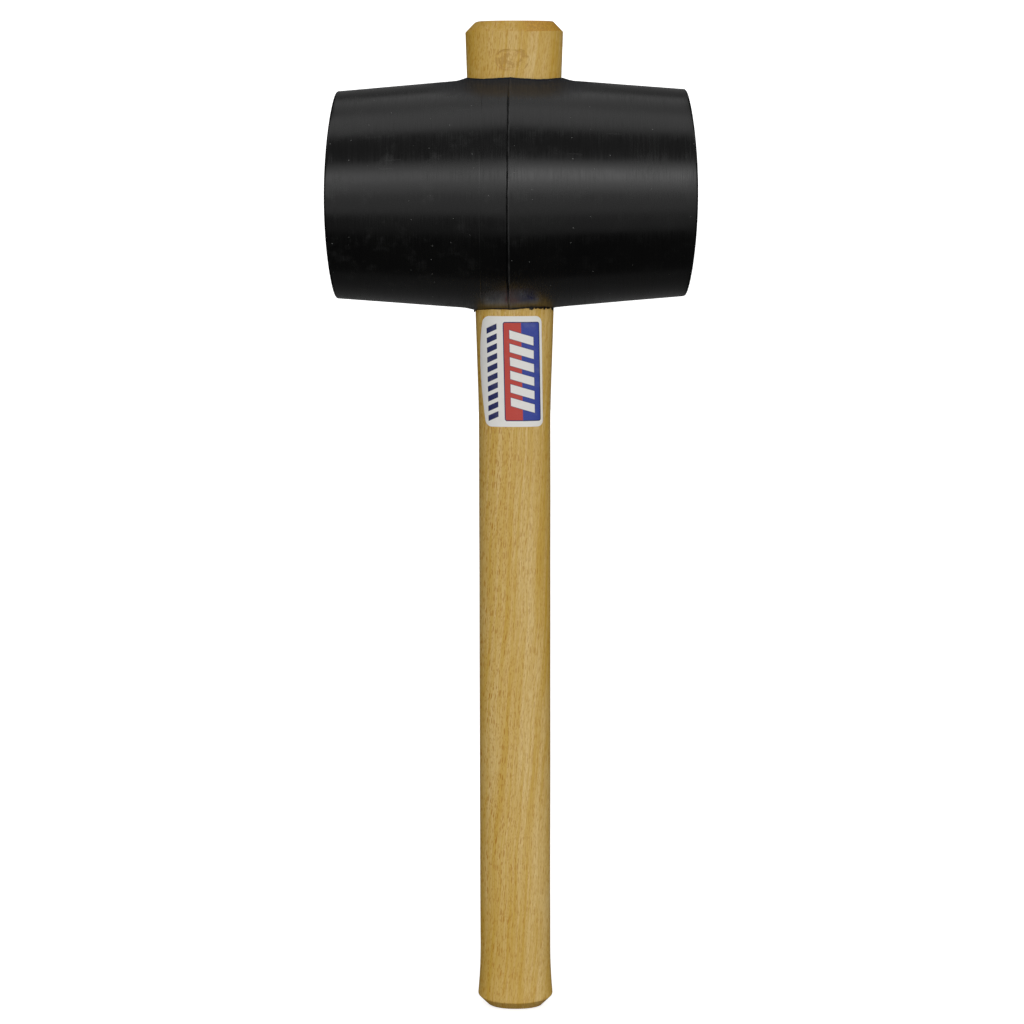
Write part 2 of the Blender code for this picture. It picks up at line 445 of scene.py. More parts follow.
def paint_parting(item):
    """Marks the scuffed right flank of the parting ridge and the witness line."""
    mesh = item.data
    layer = mesh.attributes.new("scuffed_line", "FLOAT", "POINT")
    for vertex in mesh.vertices:
        x, y, z = vertex.co
        around = Vector((0, y, z - HEAD_CENTRE_Z)).normalized()
        around = Vector((around.y, around.z, 0))
        middle = PARTING_SKEW * around.x + parting_wander(around)
        ridge = (x - PARTING_X - middle - SCUFF_OFFSET) / SCUFF_WIDTH
        line = (x - WITNESS_LINE_X - middle) / WITNESS_LINE_SCUFF
        broken = 0.6 + 0.8 * noise.noise(around * 12)
        faint = max(noise.noise(around * 6 + Vector((0, 0, 3))) + 0.15, 0.0)
        layer.data[vertex.index].value = broken * exp(-ridge * ridge) + 0.5 * faint * exp(-line * line)


def cut_eye(barrel):
    """Cuts the tapered oval eye through the barrel."""
    rings = []
    for z in np.linspace(HEAD_CENTRE_Z - EYE_CUT_REACH, HEAD_CENTRE_Z + EYE_CUT_REACH, 4):
        half_width, half_depth = handle_half_sizes(z)
        sizes = half_width + EYE_CLEARANCE, half_depth + EYE_CLEARANCE
        rings.append([(*section_point(*sizes, tau * k / EYE_COLUMNS), z) for k in range(EYE_COLUMNS)])
    ends = [(0, 0, rings[0][0][2]), (0, 0, rings[-1][0][2])]
    cutter = new_object("eye_cutter", mesh_from_rings("eye_cutter", rings, *ends))
    cut = barrel.modifiers.new("eye", "BOOLEAN")
    cut.operation = "DIFFERENCE"
    cut.solver = "EXACT"
    cut.object = cutter
    mesh = evaluated_mesh(barrel, "head_rubber")
    barrel.modifiers.remove(cut)
    barrel.data = mesh
    mesh.shade_smooth()
    mesh.set_sharp_from_angle(angle=radians(38))
    bpy.data.objects.remove(cutter)


# ---- rubber lips and torn flash at the eye ----------------------------------


def eye_edge(angle, side, stand_off):
    """Where the handle's section, grown by a stand-off, meets the head's side above (1) or below (-1)."""
    z = HEAD_CENTRE_Z + side * HEAD_RADIUS
    for _ in range(4):
        half_width, half_depth = handle_half_sizes(z)
        x, y = section_point(half_width + stand_off, half_depth + stand_off, angle)
        radius = HEAD_RADIUS - tan(HEAD_SIDE_ANGLE) * abs(x - PARTING_X)
        radius += collar_rise(x, side * pi / 2 + asin(-y * side / HEAD_RADIUS))
        z = HEAD_CENTRE_Z + HEAD_LIFT + side * sqrt(radius * radius - y * y)
        z += (x - HEAD_CENTRE_X) * sin(HEAD_SKEW)
    nx, ny = section_normal(x, y, half_width + stand_off, half_depth + stand_off)
    return Vector((x, y, z)), Vector((nx, ny, 0))


LIP_STEPS, LIP_SIDES = 260, 10  # faces round the handle and round the bead
LIP_WIDTH, LIP_HEIGHT = 0.50 * MM, 0.42 * MM  # half sizes, each with its unevenness
LIP_WIDTH_WANDER, LIP_HEIGHT_WANDER = 0.14 * MM, 0.30 * MM
LIP_OUT, LIP_SUNK = 0.08 * MM, 0.05 * MM


def make_lip(name, side):
    """A thin uneven bead of rubber squeezed up against the handle round one mouth of the eye."""
    bm = bmesh.new()
    rings = []
    for k in range(LIP_STEPS):
        angle = tau * k / LIP_STEPS
        centre, out = eye_edge(angle, side, EYE_CLEARANCE)
        spot = Vector((cos(angle), sin(angle), side * 0.7))
        rough = noise.noise(spot * 5) * 0.5 + noise.noise(spot * 16) * 0.35 + noise.noise(spot * 45) * 0.25
        frontal = 0.3 + 0.7 * abs(cos(angle))
        wide = (LIP_WIDTH + LIP_WIDTH_WANDER * rough) * frontal
        tall = (LIP_HEIGHT + LIP_HEIGHT_WANDER * rough) * frontal
        ring = []
        for turn in [tau * j / LIP_SIDES for j in range(LIP_SIDES)]:
            p = centre + out * (wide * cos(turn) + LIP_OUT)
            p.z += side * (tall * sin(turn) - LIP_SUNK)
            ring.append(bm.verts.new(p))
        rings.append(ring)
    for here, there in zip(rings, rings[1:] + rings[:1]):
        for j in range(LIP_SIDES):
            after = (j + 1) % LIP_SIDES
            bm.faces.new((here[j], there[j], there[after], here[after]))
    return new_object(name, mesh_facing_out(name, bm))


# Where bits of torn moulding flash hang under the head: angle round the handle, width, drop, thickness in mm
FLASH_BITS = [
    (-88, 1.9, 1.1, 0.6),
    (-70, 0.9, 0.5, 0.4),
    (24, 1.6, 1.0, 0.5),
    (31, 1.0, 0.6, 0.4),
    (38, 2.2, 0.6, 0.5),
    (45, 0.9, 0.9, 0.4),
    (53, 1.8, 0.7, 0.5),
    (66, 1.7, 1.1, 0.6),
    (150, 1.6, 0.8, 0.5),
    (205, 2.4, 0.7, 0.5),
    (232, 1.1, 1.0, 0.4),
]


def make_flash():
    """Small ragged bits of rubber torn at the lower mouth of the eye, as one piece."""
    bm = bmesh.new()
    for number, (degrees, width, drop, thick) in enumerate(FLASH_BITS):
        edge, out = eye_edge(radians(degrees), -1, 0.0)
        along = Vector((-out.y, out.x, 0))
        bit = bmesh.ops.create_icosphere(bm, subdivisions=3, radius=1.0)
        for vertex in bit["verts"]:
            p = vertex.co.copy()
            ragged = 1 + 0.45 * noise.noise(p * 1.9 + Vector((number * 7.1, 0, 0)))
            ragged += 0.25 * noise.noise(p * 4.3 + Vector((0, number * 3.7, 0)))
            p *= ragged
            place = edge + along * (p.x * width * MM / 2)
            place += out * (p.y * thick * MM / 2 + thick * MM * 0.45)
            place.z += (p.z * 0.75 - 0.25) * drop * MM
            vertex.co = place
    return new_object("torn_flash", mesh_facing_out("torn_flash", bm))


# ---- label shape ------------------------------------------------------------
# It is wrapped round the handle. Its left edge bulges, and it was stuck on a little aslant

LABEL_BOTTOM = label_low.z
LABEL_TOP = label_high.z
LABEL_HEIGHT = LABEL_TOP - LABEL_BOTTOM
LABEL_LEFT_EDGE = -12.0 * MM  # distances round the handle's surface, from the middle of its front
LABEL_LEFT_BULGE = 2.6 * MM
LABEL_RIGHT_EDGE = 11.0 * MM
LABEL_LEAN = 0.9 * MM  # the label was stuck on with its foot this much further right than its top
LABEL_CORNER = 2.5 * MM
LABEL_STAND_OFF = 0.05 * MM
LABEL_THICKNESS = 0.14 * MM
LABEL_CORNER_ROWS = 15
LABEL_STRAIGHT_ROWS = 80
LABEL_COLUMNS = 64


def front_angle(distance, half_width, half_depth):
    """Angle of the section's point that lies a distance round the surface from the middle of its front."""
    angle, gone = 0.0, 0.0
    step = radians(1.0) * (1 if distance > 0 else -1)
    last = section_point(half_width, half_depth, 0.0)
    while True:
        here = section_point(half_width, half_depth, angle + step)
        piece = sqrt((here[0] - last[0]) ** 2 + (here[1] - last[1]) ** 2)
        if gone + piece >= abs(distance):
            return angle + step * (abs(distance) - gone) / piece
        angle, gone, last = angle + step, gone + piece, here


def label_inset(z):
    """How far the round corners narrow the label on each side."""
    into = max(LABEL_BOTTOM + LABEL_CORNER - z, z - LABEL_TOP + LABEL_CORNER, 0.0)
    return LABEL_CORNER - sqrt(max(LABEL_CORNER**2 - into**2, 0.0))


def label_edges(z):
    """Left and right edge of the label at a height, before its lean."""
    share = (LABEL_TOP - z) / LABEL_HEIGHT
    bulge = LABEL_LEFT_BULGE * sin(pi * share**0.8)
    inset = label_inset(z)
    return LABEL_LEFT_EDGE - bulge + inset, LABEL_RIGHT_EDGE - inset


def make_label():
    ends = LABEL_CORNER * (1 - np.cos(np.linspace(0, pi / 2, LABEL_CORNER_ROWS)))
    middle = np.linspace(LABEL_BOTTOM + LABEL_CORNER, LABEL_TOP - LABEL_CORNER, LABEL_STRAIGHT_ROWS)
    heights = [*(LABEL_BOTTOM + ends[:-1]), *middle, *(LABEL_TOP - ends[::-1][1:])]
    points, flat = [], []
    for z in heights:
        left, right = label_edges(z)
        lean = LABEL_LEAN * (0.5 - (z - LABEL_BOTTOM) / LABEL_HEIGHT)
        half_width, half_depth = handle_half_sizes(z)
        for k in range(LABEL_COLUMNS + 1):
            across = left + (right - left) * k / LABEL_COLUMNS
            angle = front_angle(across + lean, half_width, half_depth)
            x, y = section_point(half_width, half_depth, angle)
            nx, ny = section_normal(x, y, half_width, half_depth)
            lift = LABEL_STAND_OFF + handle_waviness(angle, z)
            points.append((x + nx * lift, y + ny * lift, z))
            flat.append((across, z - LABEL_BOTTOM))
    faces = []
    wide = LABEL_COLUMNS + 1
    for row in range(len(heights) - 1):
        for k in range(LABEL_COLUMNS):
            first = row * wide + k
            faces.append((first, first + 1, first + 1 + wide, first + wide))
    mesh = bpy.data.meshes.new("label_print")
    mesh.from_pydata(points, [], faces)
    layer = mesh.uv_layers.new(name="print")
    for loop in mesh.loops:
        across, up = flat[loop.vertex_index]
        layer.data[loop.index].uv = (across / LABEL_HEIGHT + 0.5, up / LABEL_HEIGHT)
    mesh.update()
    label = new_object("label_print", mesh)
    sheet = label.modifiers.new("thickness", "SOLIDIFY")
    sheet.thickness = LABEL_THICKNESS
    sheet.offset = 1.0
    solid = evaluated_mesh(label, "label_print")
    label.modifiers.remove(sheet)
    label.data = solid
    solid.shade_smooth()
    solid.set_sharp_from_angle(angle=radians(40))
    return label


# ---- node helpers -----------------------------------------------------------


class Nodes:
    """A short way to write a material's node tree."""

    def __init__(self, owner):
        """owner is the name of a new material, or a world."""
        if isinstance(owner, str):
            self.material = owner = bpy.data.materials.new(owner)
            owner.use_nodes = True
            self.shader = owner.node_tree.nodes["Principled BSDF"]
        self.tree = owner.node_tree

    def link(self, source, target):
        self.tree.links.new(source, target)

    def feed(self, node, name, value):
        """Links a socket, or sets a plain value, on a node's input."""
        socket = node.inputs[name]
        if isinstance(value, bpy.types.NodeSocket):
            self.link(value, socket)
        else:
            socket.default_value = value

    def coordinates(self):
        return self.tree.nodes.new("ShaderNodeTexCoord").outputs["Object"]

    def uv(self):
        return self.tree.nodes.new("ShaderNodeTexCoord").outputs["UV"]

    def attribute(self, name):
        node = self.tree.nodes.new("ShaderNodeAttribute")
        node.attribute_name = name
        return node.outputs["Fac"]

    def divided(self, vector, sizes, turn=0.0):
        """The vector over one size or a size for each axis, and then turned about Z."""
        node = self.tree.nodes.new("ShaderNodeMapping")
        self.link(vector, node.inputs["Vector"])
        sizes = sizes if isinstance(sizes, tuple) else (sizes,) * 3
        node.inputs["Scale"].default_value = [1 / size for size in sizes]
        node.inputs["Rotation"].default_value = (0, 0, turn)
        return node.outputs["Vector"]

    def noise(self, vector, sizes, detail=3.0, roughness=0.5):
        """Cloudy values about 0.5, with grains of about the given sizes."""
        node = self.tree.nodes.new("ShaderNodeTexNoise")
        self.link(self.divided(vector, sizes), node.inputs["Vector"])
        node.inputs["Scale"].default_value = 1.0
        node.inputs["Detail"].default_value = detail
        node.inputs["Roughness"].default_value = roughness
        return node.outputs["Fac"]

    def cells(self, vector, sizes, turn=0.0):
        """Flat scattered cells: the distance from each one's middle, and its three random numbers."""
        node = self.tree.nodes.new("ShaderNodeTexVoronoi")
        node.voronoi_dimensions = "2D"
        self.link(self.divided(vector, sizes, turn), node.inputs["Vector"])
        node.inputs["Scale"].default_value = 1.0
        return node.outputs["Distance"], self.split(node.outputs["Color"])

    def math(self, operation, first, second=0.0, third=0.0, clamp=False):
        node = self.tree.nodes.new("ShaderNodeMath")
        node.operation = operation
        node.use_clamp = clamp
        self.feed(node, 0, first)
        self.feed(node, 1, second)
        self.feed(node, 2, third)
        return node.outputs[0]

    def vector(self, operation, first, second=(0, 0, 0)):
        node = self.tree.nodes.new("ShaderNodeVectorMath")
        node.operation = operation
        self.feed(node, 0, first)
        if operation == "SCALE":
            self.feed(node, "Scale", second)
        else:
            self.feed(node, 1, second)
        return node.outputs["Value" if operation == "LENGTH" else "Vector"]

    def split(self, vector):
        node = self.tree.nodes.new("ShaderNodeSeparateXYZ")
        self.link(vector, node.inputs[0])
        return node.outputs

    def join(self, x, y, z):
        node = self.tree.nodes.new("ShaderNodeCombineXYZ")
        for name, value in zip("XYZ", (x, y, z)):
            self.feed(node, name, value)
        return node.outputs[0]

    def times(self, *values):
        """The product of two or more values."""
        product = values[0]
        for value in values[1:]:
            product = self.math("MULTIPLY", product, value)
        return product

    def ramp(self, value, low, high, at_low=0.0, at_high=1.0):
        """Smoothly maps a span of values to another span."""
        node = self.tree.nodes.new("ShaderNodeMapRange")
        node.interpolation_type = "SMOOTHSTEP"
        names = ("Value", "From Min", "From Max", "To Min", "To Max")
        for name, item in zip(names, (value, low, high, at_low, at_high)):
            self.feed(node, name, item)
        return node.outputs["Result"]

    def mix(self, share, first, second):
        node = self.tree.nodes.new("ShaderNodeMix")
        node.data_type = "RGBA"
        self.feed(node, "Factor", share)
        for name, colour in (("A", first), ("B", second)):
            socket = next(s for s in node.inputs if s.name == name and s.type == "RGBA")
            if isinstance(colour, bpy.types.NodeSocket):
                self.link(colour, socket)
            else:
                socket.default_value = (*colour, 1.0)
        return next(s for s in node.outputs if s.type == "RGBA")

    def bump(self, height, distance, normal=None):
        node = self.tree.nodes.new("ShaderNodeBump")
        node.inputs["Distance"].default_value = distance
        self.link(height, node.inputs["Height"])
        if normal is not None:
            self.link(normal, node.inputs["Normal"])
        return node.outputs["Normal"]

    def finish(self, colour, roughness, normal, **fixed):
        self.feed(self.shader, "Base Color", colour)
        self.feed(self.shader, "Roughness", roughness)
        self.feed(self.shader, "Normal", normal)
        for name, value in fixed.items():
            self.shader.inputs[name.replace("_", " ")].default_value = value
        return self.material


# ---- rubber -----------------------------------------------------------------

RUBBER_BLACK, RUBBER_DULL = (0.0012, 0.0012, 0.0012), (0.0020, 0.0020, 0.0019)
RUBBER_PAINTED_REFLECTION_TINT = (0.002, 0.007, 0.017)  # painted reflection: a bluish tint round the mouths of the eye, mostly above, that cools the handle's amber reflection in the rubber
RUBBER_BLOTCH = (0.011, 0.011, 0.011)
RUBBER_SCUFFED = (0.045, 0.045, 0.045)
RUBBER_SCRATCHED = (0.12, 0.12, 0.12)
DUST = (0.33, 0.33, 0.32)
MOUTH_HALF = (17 * MM, 13 * MM)
SPECK_SPACING = 7.5 * MM
SPECK_SHARE = 0.28
SCRATCH_CELL = (55 * MM, 1.1 * MM, 1.0)
SCRATCH_SHARE = 0.022


def rubber_material():
    """Moulded black rubber: fine marks round the barrel, dull patches, scuffed near the eye, some dust, and
    a painted bluish reflection tint round the eye's mouths.
    """
    n = Nodes("moulded_rubber")
    place = n.coordinates()
    x, y, z = n.split(place)
    fine_rings = n.noise(place, (0.45 * MM, 10 * MM, 10 * MM), roughness=0.6)
    wide_rings = n.noise(place, (3.2 * MM, 60 * MM, 60 * MM), detail=2)
    streaks = n.ramp(fine_rings, 0.32, 0.68)
    dull = n.ramp(n.noise(place, 22 * MM, detail=4, roughness=0.55), 0.35, 0.7)
    blotch = n.ramp(n.noise(place, 7 * MM, detail=4, roughness=0.6), 0.5, 0.72)
    blotch = n.times(blotch, n.ramp(x, 30 * MM, -50 * MM, 0.35, 1.0))
    from_eye = n.join(n.math("DIVIDE", x, MOUTH_HALF[0]), n.math("DIVIDE", y, MOUTH_HALF[1]), 0.0)
    mouth = n.ramp(n.vector("LENGTH", from_eye), 1.1, 2.4, 1.0, 0.0)
    above = n.ramp(z, HEAD_CENTRE_Z - 5 * MM, HEAD_CENTRE_Z + 5 * MM)

    turn = n.math("ARCTAN2", n.math("SUBTRACT", z, HEAD_CENTRE_Z), y)
    unrolled = n.join(x, n.times(turn, HEAD_RADIUS), 0.0)
    distance, (chance, size, _) = n.cells(unrolled, SPECK_SPACING)
    small = n.math("LESS_THAN", distance, n.math("MULTIPLY_ADD", size, 0.017, 0.011))
    speck = n.times(small, n.math("GREATER_THAN", chance, 1 - SPECK_SHARE))
    distance, (chance, _, _) = n.cells(unrolled, SCRATCH_CELL, radians(-38))
    thin = n.math("LESS_THAN", distance, 0.055)
    scratch = n.times(thin, n.math("GREATER_THAN", chance, 1 - SCRATCH_SHARE))

    roughness = n.math("MULTIPLY_ADD", streaks, 0.11, 0.12)
    roughness = n.math("MULTIPLY_ADD", wide_rings, 0.04, roughness)
    roughness = n.math("MULTIPLY_ADD", dull, 0.05, roughness)
    roughness = n.math("MULTIPLY_ADD", blotch, 0.10, roughness)
    roughness = n.math("MULTIPLY_ADD", mouth, n.math("MULTIPLY_ADD", above, 0.36, 0.14), roughness)
    roughness = n.math("ADD", roughness, n.ramp(x, 61 * MM, 69 * MM, 0.0, 0.09))
    roughness = n.math("MULTIPLY_ADD", speck, 0.3, roughness)

    blotched = n.times(blotch, n.math("MULTIPLY_ADD", streaks, 0.5, 0.3))
    scuffed = n.math("MULTIPLY", n.attribute("scuffed_line"), 0.7, clamp=True)
    colour = n.mix(dull, RUBBER_BLACK, RUBBER_DULL)
    # Painted reflection: a bluish tint round the eye's mouths, strongest above, that cancels the amber of
    # the handle reflected there
    colour = n.mix(n.times(mouth, n.math("MULTIPLY_ADD", above, 0.5, 0.1)), colour, RUBBER_PAINTED_REFLECTION_TINT)
    colour = n.mix(blotched, colour, RUBBER_BLOTCH)
    colour = n.mix(scuffed, colour, RUBBER_SCUFFED)
    colour = n.mix(n.times(scratch, 0.25), colour, RUBBER_SCRATCHED)
    colour = n.mix(n.times(speck, 0.35), colour, DUST)

    normal = n.bump(fine_rings, 0.014 * MM)
    normal = n.bump(n.noise(place, 0.35 * MM, detail=2), 0.006 * MM, normal)
    return n.finish(colour, roughness, normal, IOR=1.5)


# ---- beech ------------------------------------------------------------------


BEECH_DARK, BEECH_PALE = (0.56, 0.348, 0.048), (0.725, 0.545, 0.235)
BEECH_FIBRE = (0.50, 0.275, 0.036)
BEECH_RAY = (0.39, 0.15, 0.004)
# warm tone, also used as painted shade along the handle's narrow sides
BEECH_WARM_SHADE = (0.46, 0.25, 0.0)
# end-grain colours; on the butt's downward chamfer they also stand in for painted shade
BEECH_END_DARK, BEECH_END_PALE = (0.40, 0.18, 0.010), (0.57, 0.305, 0.026)
BEECH_BRUISE = (0.38, 0.20, 0.028)
GRAIN_LEAN = 0.07  # sideways drift of the grain on its way up


def dashes(n, place, cell, thin, thick, left_out):
    """Small spindle marks, 1 in their middles. Each cell has one, but for the share that is left out."""
    distance, (chance, size, dark) = n.cells(place, (*cell, 1.0))
    reach = n.math("MULTIPLY_ADD", size, thick - thin, thin)
    mark = n.ramp(distance, n.times(reach, 0.6), reach, 1.0, 0.0)
    mark = n.times(mark, n.math("GREATER_THAN", chance, left_out))
    return n.times(mark, n.math("MULTIPLY_ADD", dark, 0.55, 0.45))


def stamp_bruise(n, place, x, y, z):
    """The bruised edge and floor of the stamped mark: 1 where the wood is darkest."""
    past = n.math("ABSOLUTE", n.math("SUBTRACT", x, STAMP_CENTRE[0]))
    past = n.math("MAXIMUM", n.math("SUBTRACT", past, STAMP_HALF[0] - STAMP_HALF[1]), 0.0)
    away = n.vector("LENGTH", n.join(past, n.math("SUBTRACT", z, STAMP_CENTRE[1]), 0.0))
    away = n.math("SUBTRACT", away, STAMP_HALF[1])
    edge = n.ramp(n.math("ABSOLUTE", away), 0.0, STAMP_BANK, 0.75, 0.0)
    floor = n.ramp(away, 0.0, -0.8 * MM, 0.0, 0.6)
    pressed = n.noise(place, (1.6 * MM, 9 * MM, 1.6 * MM))
    return n.times(n.math("ADD", edge, floor), n.ramp(pressed, 0.42, 0.62), n.math("LESS_THAN", y, 0.0))


def beech_material():
    """Sanded beech. The rays are ribbons that run front to back, so they show as short dashes on the
    front and as rounder flecks on the two narrow sides."""
    n = Nodes("sanded_beech")
    place = n.coordinates()
    x, y, z = n.split(place)
    drift = n.noise(n.join(x, 0.0, z), (30 * MM, 1.0, 45 * MM), detail=2)
    across = n.math("SUBTRACT", x, n.math("MULTIPLY_ADD", z, GRAIN_LEAN, n.times(drift, 5 * MM)))
    grain = n.join(across, y, z)
    bands = n.noise(grain, (5 * MM, 9 * MM, 150 * MM), roughness=0.55)
    streaks = n.noise(grain, (1.1 * MM, 2.5 * MM, 65 * MM), roughness=0.6)
    fibres = n.noise(grain, (0.3 * MM, 0.5 * MM, 3.5 * MM), detail=2, roughness=0.6)

    front = n.join(across, z, 0.0)
    long_rays = dashes(n, front, (0.8 * MM, 5.4 * MM), 0.16, 0.33, 0.3)
    short_rays = dashes(n, front, (0.6 * MM, 2.1 * MM), 0.18, 0.35, 0.3)
    flecks = dashes(n, n.join(y, z, 0.0), (1.7 * MM, 2.4 * MM), 0.2, 0.45, 0.3)
    on_side = n.ramp(n.math("ABSOLUTE", y), 6.6 * MM, 4.8 * MM)
    rays = n.math("MAXIMUM", long_rays, n.times(short_rays, 0.7))
    rays = n.math("MULTIPLY_ADD", flecks, on_side, n.times(rays, n.math("SUBTRACT", 1.0, on_side)))
    to_left = n.math("ADD", x, n.times(drift, 10 * MM))
    rays = n.times(rays, n.ramp(to_left, 16 * MM, -8 * MM, 0.55, 1.0))

    # Painted shade: darker, warmer wood along the two narrow sides, more on the left; also warmer towards
    # both ends
    warm_and_side_shade = n.math("ADD", n.ramp(x, -8 * MM, -14 * MM, 0.0, 0.26), n.ramp(x, 9 * MM, 14 * MM, 0.0, 0.12))
    warm_and_side_shade = n.math("ADD", warm_and_side_shade, n.ramp(z, 350 * MM, 362 * MM, 0.0, 0.17))
    warm_and_side_shade = n.math("ADD", warm_and_side_shade, n.ramp(z, 60 * MM, 15 * MM, 0.0, 0.13))

    tone = n.ramp(n.math("MULTIPLY_ADD", streaks, 0.6, n.times(bands, 0.65)), 0.40, 0.85)
    pores = n.noise(place, (0.5 * MM, 0.8 * MM, 3 * MM))
    colour = n.mix(tone, BEECH_DARK, BEECH_PALE)
    colour = n.mix(n.ramp(fibres, 0.38, 0.66, 0.0, 0.5), colour, BEECH_FIBRE)
    colour = n.mix(n.times(rays, 0.9), colour, BEECH_RAY)
    # painted side shade and the warmer ends mixed in
    colour = n.mix(warm_and_side_shade, colour, BEECH_WARM_SHADE)
    end_colour = n.mix(n.ramp(pores, 0.35, 0.7), BEECH_END_DARK, BEECH_END_PALE)
    # end colour: end grain, and on the butt's downward chamfer also painted shade
    colour = n.mix(n.attribute("end_grain_and_shade"), colour, end_colour)
    colour = n.mix(stamp_bruise(n, place, x, y, z), colour, BEECH_BRUISE)
    normal = n.bump(n.math("SUBTRACT", fibres, n.times(rays, 0.9)), 0.012 * MM)
    return n.finish(colour, n.math("MULTIPLY_ADD", fibres, 0.12, 0.42), normal, IOR=1.45)


def paint_end_grain_and_shade(item):
    """Marks the end faces and chamfers, where the wood is cut across its grain. On the butt, whose chamfer
    faces down, the end colour is also painted shade; on the top it grows towards the right.
    """
    mesh = item.data
    layer = mesh.attributes.new("end_grain_and_shade", "FLOAT", "POINT")
    for vertex in mesh.vertices:
        steep = abs(vertex.normal.z)
        dark = 0.42
        if vertex.co.z > HANDLE_TOP / 2:
            dark = 0.15 + 0.75 * smooth_step(1 * MM, 7 * MM, vertex.co.x)
        layer.data[vertex.index].value = dark * smooth_step(0.35, 0.8, steep)


# ---- label print ------------------------------------------------------------


PRINT_WHITE = (0.80, 0.79, 0.755)
PRINT_NAVY = (0.008, 0.014, 0.10)
PRINT_RED, PRINT_PALE_RED = (0.49, 0.040, 0.026), (0.56, 0.062, 0.042)
PRINT_BLUE, PRINT_PALE_BLUE = (0.015, 0.037, 0.29), (0.034, 0.062, 0.35)
PRINT_DIRT = (0.45, 0.42, 0.36)
# Millimetres on the flat label, from the foot of its middle
PRINT_HEIGHT = LABEL_HEIGHT / MM
PANEL_CENTRE = (2.9, PRINT_HEIGHT / 2)
PANEL_HALF = (7.1, PRINT_HEIGHT / 2 - 2.2)
PANEL_CORNER = 0.9
PANEL_EDGE = 0.35  # width of the panel's navy edge
COLOUR_SPLIT = 2.79  # red to its left and blue to its right
PANEL_BARS = {"count": 6, "pitch": 5.2, "slant": 0.30}
PANEL_BAR_HALF, PANEL_BAR_SHARE = 4.6, 0.62  # half width, and share of the pitch
OUTLINE_BAR_HALF, OUTLINE_BAR_SHARE = 4.78, 0.69
STRIP_CENTRE = (-8.7, PRINT_HEIGHT / 2 - 0.4)
STRIP_BARS = {"count": 10, "pitch": 3.75, "slant": -0.45}
STRIP_BAR_HALF, STRIP_BAR_SHARE = 2.1, 0.58


def inside_box(n, x, y, centre, half, corner):
    """1 inside a round-cornered box, with a printed edge that is not quite sharp."""
    away = n.vector("ABSOLUTE", n.vector("SUBTRACT", n.join(x, y, 0.0), (*centre, 0.0)))
    away = n.vector("SUBTRACT", away, (half[0] - corner, half[1] - corner, 0.0))
    away = n.vector("MAXIMUM", away, (0.0, 0.0, 0.0))
    return n.ramp(n.math("SUBTRACT", n.vector("LENGTH", away), corner), -0.04, 0.04, 1.0, 0.0)


def bars(n, x, y, centre, half_width, share, count, pitch, slant):
    """A column of equal bars up the label, each leaning by the slant."""
    half_column = count * pitch / 2
    up = n.math("SUBTRACT", y, centre[1])
    up = n.math("MULTIPLY_ADD", n.math("SUBTRACT", x, centre[0]), slant, up)
    up = n.math("ADD", up, half_column)
    off = n.math("ABSOLUTE", n.math("SUBTRACT", n.math("FRACT", n.math("DIVIDE", up, pitch)), 0.5))
    edge = 0.05 / pitch
    bar = n.ramp(off, share / 2 - edge, share / 2 + edge, 1.0, 0.0)
    in_column = n.math("COMPARE", up, half_column, half_column)
    return n.times(bar, in_column, inside_box(n, x, y, centre, (half_width, PRINT_HEIGHT), 0.2))


def label_material():
    """White film with a two-colour field of plain slanted bars and a strip of small navy bars."""
    n = Nodes("printed_label")
    spot = n.vector("SCALE", n.vector("SUBTRACT", n.uv(), (0.5, 0.0, 0.0)), PRINT_HEIGHT)
    x, y, _ = n.split(spot)
    wear = n.noise(spot, 0.25, roughness=0.7)
    mottle = n.ramp(wear, 0.3, 0.75)

    panel = inside_box(n, x, y, PANEL_CENTRE, PANEL_HALF, PANEL_CORNER)
    inner_half = (PANEL_HALF[0] - PANEL_EDGE, PANEL_HALF[1] - PANEL_EDGE)
    inner = inside_box(n, x, y, PANEL_CENTRE, inner_half, 0.6)
    outlines = bars(n, x, y, PANEL_CENTRE, OUTLINE_BAR_HALF, OUTLINE_BAR_SHARE, **PANEL_BARS)
    white_bars = bars(n, x, y, PANEL_CENTRE, PANEL_BAR_HALF, PANEL_BAR_SHARE, **PANEL_BARS)
    strip = bars(n, x, y, STRIP_CENTRE, STRIP_BAR_HALF, STRIP_BAR_SHARE, **STRIP_BARS)

    red, blue = n.mix(mottle, PRINT_RED, PRINT_PALE_RED), n.mix(mottle, PRINT_BLUE, PRINT_PALE_BLUE)
    field = n.mix(n.ramp(x, COLOUR_SPLIT - 0.04, COLOUR_SPLIT + 0.04), red, blue)
    field = n.mix(inner, PRINT_NAVY, field)
    field = n.mix(n.times(outlines, 0.85), field, PRINT_NAVY)
    field = n.mix(white_bars, field, PRINT_WHITE)
    colour = n.mix(strip, n.mix(panel, PRINT_WHITE, field), PRINT_NAVY)
    dirt = n.ramp(n.noise(spot, 7.0, detail=4), 0.5, 0.85, 0.0, 0.16)
    colour = n.mix(dirt, colour, PRINT_DIRT)

    ink = n.math("MAXIMUM", n.times(panel, n.math("SUBTRACT", 1.0, white_bars)), strip)
    normal = n.bump(n.math("MULTIPLY_ADD", wear, 0.3, ink), 0.008 * MM)
    return n.finish(colour, n.math("MULTIPLY_ADD", wear, 0.12, 0.30), normal, IOR=1.48)


# ---- studio -----------------------------------------------------------------

FLOOR_RADIUS = 2.6
FLOOR_RINGS = [0.0, 0.4, 1.2, FLOOR_RADIUS]
COVE_RADIUS = 1.4
COVE_STEPS = 24
WALL_TOP = 2.6
FLOOR_GLOW = 0.75  # keeps the background plain white


